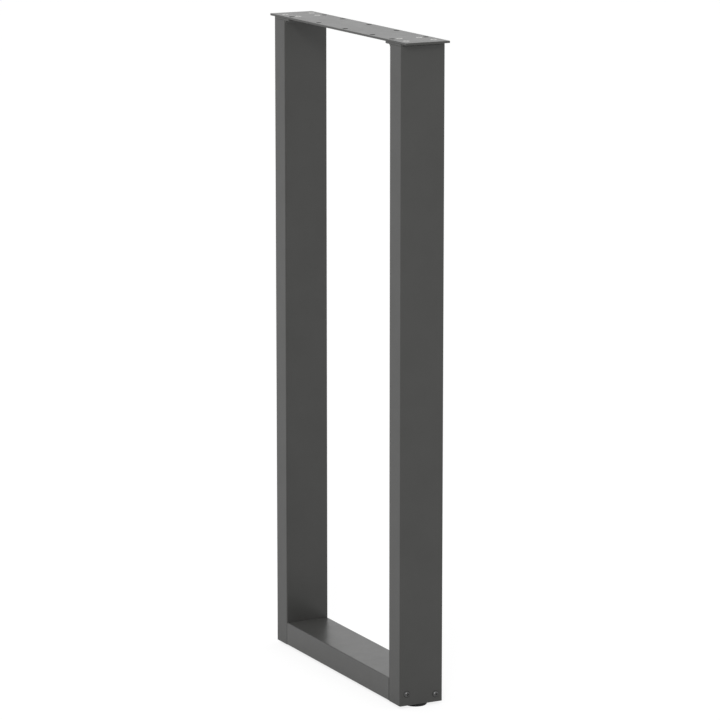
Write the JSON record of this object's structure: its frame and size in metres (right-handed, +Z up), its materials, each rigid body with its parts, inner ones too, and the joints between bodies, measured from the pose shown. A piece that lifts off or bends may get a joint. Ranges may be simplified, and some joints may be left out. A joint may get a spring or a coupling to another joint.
{
  "type": "u shaped table leg",
  "caption": "Open rectangular table leg frame of powder-coated steel tube, with a drilled plate for the table top and levelling feet.",
  "frame": {"origin": "on the floor, midway between the two feet and under the middle of the tube's depth", "axes": "+Z up, +X along the frame's width to the right-hand upright, +Y from the front face to the back"},
  "size_m": [0.5, 0.08, 1.112],
  "materials": {
    "powder_coat": "anthracite powder coat, satin, very fine texture",
    "zinc": "zinc plated",
    "black_screw": "dark zinc-nickel plated",
    "black_plastic": "moulded, matt"
  },
  "bodies": {
    "frame": {"bar_end_left": "powder_coat", "bar_end_right": "powder_coat", "base_plate_left": "powder_coat", "base_plate_right": "powder_coat", "bottom_bar": "powder_coat", "flange_left": "powder_coat", "flange_right": "powder_coat", "flange_weld_left": "powder_coat", "flange_weld_right": "powder_coat", "foot_nut_left": "zinc", "foot_nut_right": "zinc", "plate_screw_left_inner_back": "zinc", "plate_screw_left_inner_front": "zinc", "plate_screw_left_outer_back": "zinc", "plate_screw_left_outer_front": "zinc", "plate_screw_right_inner_back": "zinc", "plate_screw_right_inner_front": "zinc", "plate_screw_right_outer_back": "zinc", "plate_screw_right_outer_front": "zinc", "side_screw_left_high": "black_screw", "side_screw_left_low": "black_screw", "side_screw_right_high": "black_screw", "side_screw_right_low": "black_screw", "top_plate": "powder_coat", "upright_left": "powder_coat", "upright_right": "powder_coat"},
    "foot_left": {"foot_pad_left": "black_plastic", "foot_stud_left": "zinc"},
    "foot_right": {"foot_pad_right": "black_plastic", "foot_stud_right": "zinc"}
  },
  "joints": [
    {"name": "foot_left_height", "type": "slide", "parent": "frame", "child": "foot_left", "axis": [0, 0, -1], "range_m": [0, 0.01]},
    {"name": "foot_right_height", "type": "slide", "parent": "frame", "child": "foot_right", "axis": [0, 0, -1], "range_m": [0, 0.01]}
  ]
}
